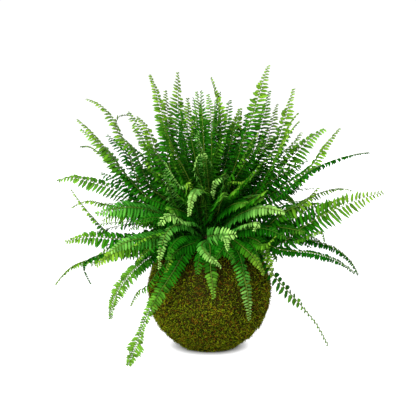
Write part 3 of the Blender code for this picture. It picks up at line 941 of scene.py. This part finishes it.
# ---- Young fronds ----------------------------------------
# Between the grown fronds stand younger and shorter ones, thin and limp.  Each row gives the leaf, the
# half width in millimetres, the roll in degrees, and the points, in millimetres, that the rib passes.
YOUNG_FRONDS = (
    ("fresh", 13, 0, ((25, 60, 255), (30, 95, 295), (30, 115, 325))),
    ("deep", 12, 0, ((45, 80, 255), (55, 115, 290), (55, 135, 325))),
    ("fresh", 9, 0, ((-75, 60, 235), (-90, 80, 270), (-105, 90, 290))),
    ("fresh", 7, 0, ((105, -40, 160), (140, -60, 175), (155, -65, 180), (160, -65, 165))),
    ("deep", 7, 0, ((-115, -10, 145), (-165, -20, 135), (-180, -20, 120), (-170, -20, 95))),
    ("fresh", 8, 0, ((-60, -60, 135), (-85, -70, 105), (-100, -70, 95), (-110, -70, 75))),
    ("fresh", 8, 0, ((-60, -50, 170), (-80, -60, 155), (-75, -60, 125))),
    ("pale", 7, 30, ((18, -60, 235), (20, -80, 256), (8, -92, 254), (4, -95, 238), (6, -92, 228))),
    ("fresh", 7, -20, ((15, -50, 222), (25, -70, 248), (46, -80, 250))),
    ("pale", 13, 90, ((-2, -70, 174), (18, -92, 180), (36, -104, 182))),
    ("fresh", 9, 20, ((-4, -55, 200), (-5, -70, 224), (-4, -80, 243))),
    ("deep", 13, 10, ((25, -40, 202), (40, -60, 231), (56, -70, 256))),
    ("deep", 13, 0, ((18, -30, 240), (28, -45, 268), (40, -50, 297))),
    ("deep", 11, 15, ((-8, -72, 158), (-14, -98, 148), (-17, -106, 128))),
    ("deep", 10, -10, ((32, -66, 160), (42, -90, 148), (48, -98, 124))),
    ("fresh", 10, 20, ((-40, -60, 162), (-52, -84, 150), (-60, -94, 128))),
    ("deep", 12, 40, ((4, -72, 166), (20, -96, 160), (34, -106, 148))),
    ("deep", 12, -45, ((-20, -70, 165), (-38, -92, 162), (-54, -104, 150))),
    ("deep", 11, -20, ((50, -62, 165), (62, -82, 158), (70, -92, 138))),
    ("deep", 12, -50, ((22, -72, 168), (20, -96, 164), (8, -112, 150))),
    ("deep", 11, -10, ((-60, -50, 165), (-74, -68, 157), (-84, -76, 138))),
    ("deep", 11, 20, ((70, -45, 165), (84, -58, 157), (94, -64, 138))),
    ("deep", 11, -60, ((-45, -75, 195), (-75, -100, 205), (-100, -112, 200))),
    ("fresh", 10, 50, ((-50, -80, 180), (-80, -105, 180), (-105, -118, 168))),
    ("deep", 11, 30, ((-45, -80, 170), (-75, -105, 165), (-95, -115, 148))),
    ("deep", 10, -30, ((-50, -70, 210), (-78, -92, 228), (-98, -100, 236))),
    ("fresh", 8, 80, ((-60, -80, 190), (-85, -100, 196), (-108, -108, 190))),
    ("deep", 10, 10, ((-35, -75, 175), (-50, -105, 168), (-58, -118, 150))),
    ("deep", 11, 40, ((50, -75, 185), (78, -95, 188), (104, -104, 178))),
    ("fresh", 9, -50, ((45, -70, 200), (70, -90, 212), (92, -98, 214))),
    ("pale", 8, 0, ((30, -60, 180), (50, -95, 195), (65, -110, 200), (60, -120, 190))),
    ("pale", 8, 30, ((15, -75, 180), (20, -110, 180), (25, -125, 165))),
    ("pale", 7, 0, ((-20, -60, 190), (-40, -95, 200), (-50, -105, 215))),
    ("pale", 5, 0, ((-25, -70, 240), (-40, -85, 246), (-51, -92, 263), (-59, -94, 279))),
    ("pale", 12, 60, ((-35, -50, 200), (-50, -80, 225), (-55, -95, 250), (-60, -100, 270))),
    ("pale", 8, 0, ((0, -40, 260), (-5, -65, 280), (-15, -75, 305), (-15, -75, 320))),
    ("pale", 11, -30, ((-30, -66, 190), (-44, -92, 205), (-58, -106, 207), (-67, -113, 196))),
    ("fresh", 8, 0, ((-70, -70, 170), (-85, -90, 160), (-100, -100, 145))),
    ("fresh", 11, 30, ((25, -30, 210), (40, -50, 240), (55, -60, 255))),
    ("fresh", 9, 20, ((55, -60, 165), (75, -90, 165), (90, -100, 180))),
    ("fresh", 15, -20, ((-70, 30, 240), (-95, 45, 300), (-118, 55, 335))),
    ("deep", 15, -25, ((-80, 40, 225), (-120, 60, 270), (-150, 70, 300))),
    ("fresh", 14, -20, ((-60, 0, 240), (-85, 0, 285), (-108, 5, 318))),
    ("deep", 15, -30, ((-80, 0, 200), (-125, 10, 235), (-155, 15, 250))),
    ("deep", 14, -40, ((-80, -30, 190), (-120, -40, 205), (-150, -45, 200))),
    ("fresh", 14, -40, ((-75, 10, 180), (-120, 20, 190), (-155, 20, 180))),
    ("deep", 13, -30, ((-80, -20, 160), (-120, -30, 150), (-150, -30, 130))),
    ("deep", 14, -20, ((-60, -50, 190), (-90, -70, 215), (-115, -80, 220))),
    ("fresh", 13, -10, ((-50, -40, 220), (-75, -55, 260), (-95, -60, 290))),
    ("deep", 14, 0, ((-25, -20, 240), (-35, -25, 290), (-40, -30, 330))),
    ("fresh", 14, 0, ((-20, 10, 260), (-28, 20, 310), (-30, 30, 350))),
    ("deep", 13, 10, ((10, -30, 240), (20, -45, 285), (25, -50, 320))),
    ("deep", 14, 15, ((40, -20, 235), (60, -30, 280), (75, -35, 315))),
    ("fresh", 15, 25, ((70, 0, 230), (105, 0, 275), (130, 5, 310))),
    ("deep", 14, 30, ((85, 0, 205), (125, 5, 240), (155, 10, 262))),
    ("fresh", 13, 35, ((85, -20, 185), (125, -30, 205), (160, -35, 215))),
    ("deep", 14, 40, ((80, 20, 165), (125, 30, 165), (165, 30, 145))),
    ("fresh", 14, 20, ((20, -35, 232), (44, -54, 278), (66, -62, 316))),
    ("fresh", 12, 10, ((32, -42, 222), (60, -64, 262), (88, -70, 292))),
    ("fresh", 13, -15, ((-2, -40, 235), (6, -58, 278), (20, -64, 310))),
    ("fresh", 12, -35, ((-30, -42, 232), (-46, -60, 270), (-54, -66, 305))),
    ("pale", 9, 35, ((-10, -52, 240), (-18, -74, 270), (-12, -84, 290), (-4, -86, 282))),
    ("fresh", 11, 60, ((-18, -58, 215), (-28, -84, 238), (-30, -96, 252), (-26, -100, 242))),
)
YOUNG_HABIT = {"Curl": 1.6, "Ruffle": 0.35, "Rib Radius": 0.65 * MM, "Rib Finish": rib_finishes["young_rib"]}
YOUNG_TIPS = {"deep": 0.65, "fresh": 0.9, "pale": 1.0}
UP = Vector((0.0, 0.0, 1.0))
CURVE_STEPS = 5
BLADE_FOOT = 0.35
BLADE_OPEN = 0.22
BLADE_TAPER_FROM = 0.45
BLADE_TAPER = 0.85
FOOT_SHARE = 0.65
crown_middle = (crown_low + crown_high) / 2


def blade_through(half_width, roll, points, skew=0.0):
    """A blade whose rib leaves the crown and passes these points, told like the ones of blade_of."""
    outward = (Vector(points[0]) * MM - crown_middle).xy.normalized().to_3d()
    outward.rotate(Matrix.Rotation(skew, 3, "Z"))
    knots = [crown_middle + outward * crown_radius * FOOT_SHARE, *(Vector(point) * MM for point in points)]
    # The rib passes each point in line with the points before and after it.
    slopes = [(after - before) / 6 for before, after in zip([knots[0], *knots], [*knots[1:], knots[-1]])]
    path = [knots[0]]
    for step in range(len(knots) - 1):
        near, far = knots[step], knots[step + 1]
        path += interpolate_bezier(near, near + slopes[step], far - slopes[step + 1], far, CURVE_STEPS)[1:]
    level = UP.cross((path[-1] - path[0]).xy.normalized().to_3d())
    blade = []
    for step, place in enumerate(path):
        share = step / (len(path) - 1)
        along = (path[min(step + 1, len(path) - 1)] - path[max(step - 1, 0)]).normalized()
        side = (level - along * level.dot(along)).normalized()
        side.rotate(Matrix.Rotation(math.radians(roll), 3, along))
        spent = max(0.0, (share - BLADE_TAPER_FROM) / (1 - BLADE_TAPER_FROM))
        opened = half_width * MM * min(1.0, BLADE_FOOT + share / BLADE_OPEN * (1 - BLADE_FOOT))
        blade.append((place, opened * (1 - BLADE_TAPER * spent ** 1.3), along.cross(side)))
    return blade


for number, (leaf, half_width, roll, points) in enumerate(YOUNG_FRONDS, start=1):
    blade = blade_through(half_width, roll, points)
    slot = f"{leaf}_frond"
    habit = {**FROND_HABIT, **YOUNG_HABIT, **leaflets_for(blade, "young", slot), "Seed": 100 + number}
    habit["Tip Youth"] = YOUNG_TIPS[leaf]
    frond = grow(frond_tree, f"young_frond_{number:02d}", rib_guide(blade), habit)
    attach(frond, "root")


# ---- Inner fronds ----------------------------------------
# The middle of the plant is a thicket of shorter, older fronds that stand close round the crown, each
# one turned from the last by the golden angle as a fern's buds are.  Every eighth frond makes one piece.
INNER_FRONDS = 104
INNER_PIECES = 8
INNER_LEAVES = ("deep_frond", "fresh_frond", "deep_frond", "deep_frond")
GOLDEN_ANGLE = math.pi * (3 - math.sqrt(5))
# The rise of the lowest fronds at the back and in front, and of the topmost, in degrees; the reach of the
# front ones and of the topmost, and how much further those at the sides and back reach, in millimetres.
BACK_RISE, FRONT_RISE, TOP_RISE = 10, 36, 84
RISE_FALLOFF = 1.15
FRONT_REACH, TOP_REACH, SIDE_REACH, BACK_REACH = 95, 200, 62, 45
RIB_SHARES = (0.35, 0.6, 0.82, 1.0)


def joined(name, pieces):
    """One piece made of several, each with a square of its own on the map."""
    side = math.ceil(math.sqrt(len(pieces)))
    shape = bmesh.new()
    for number, piece in enumerate(pieces):
        for spot in piece.data.uv_layers["OFBake"].uv:
            spot.vector = ((spot.vector.x + number % side) / side, (spot.vector.y + number // side) / side)
        shape.from_mesh(piece.data)
    mesh = mesh_of(shape, name)
    for finish in pieces[0].data.materials:
        mesh.materials.append(finish)
    for piece in pieces:
        bpy.data.objects.remove(piece)
    return shown(name, mesh)


luck = random.Random(4)
for piece_number in range(INNER_PIECES):
    leaf = INNER_LEAVES[piece_number % len(INNER_LEAVES)]
    habit = {**FROND_HABIT, "Leaflet": small_leaflet, "Tip Youth": 0.75}
    bunch = []
    for number in range(piece_number, INNER_FRONDS, INNER_PIECES):
        share = number / (INNER_FRONDS - 1)
        turn = number * GOLDEN_ANGLE + luck.uniform(-0.25, 0.25)
        least_rise = BACK_RISE + (FRONT_RISE - BACK_RISE) * max(0.0, -math.sin(turn))
        rise = least_rise + (TOP_RISE - least_rise) * (1 - share) ** RISE_FALLOFF + luck.uniform(-8, 8)
        rise = math.radians(rise)
        heading = Vector((math.cos(turn) * math.cos(rise), math.sin(turn) * math.cos(rise), math.sin(rise)))
        level_reach = FRONT_REACH + SIDE_REACH * abs(math.cos(turn)) + BACK_REACH * max(0.0, math.sin(turn))
        reach = level_reach + (TOP_REACH - level_reach) * math.sin(rise) + luck.uniform(-22, 14)
        fall = UP * luck.uniform(0.15, 0.45) * math.cos(rise)
        aside = heading.cross(UP) * luck.uniform(-0.25, 0.25)
        points = [crown_middle / MM + reach * far * (heading + (aside - fall) * far) for far in RIB_SHARES]
        blade = blade_through(luck.uniform(11, 18), luck.uniform(-50, 50), points, luck.uniform(-1.3, 1.3))
        habit.update(leaflets_for(blade, "inner", leaf))
        habit["Seed"] = 200 + number
        bunch.append(grow(frond_tree, f"inner_frond_{number}", rib_guide(blade), habit))
    inner = joined(f"inner_fronds_{piece_number + 1}", bunch)
    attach(inner, "root")

for pattern in (leaflet, small_leaflet):
    bpy.data.objects.remove(pattern)
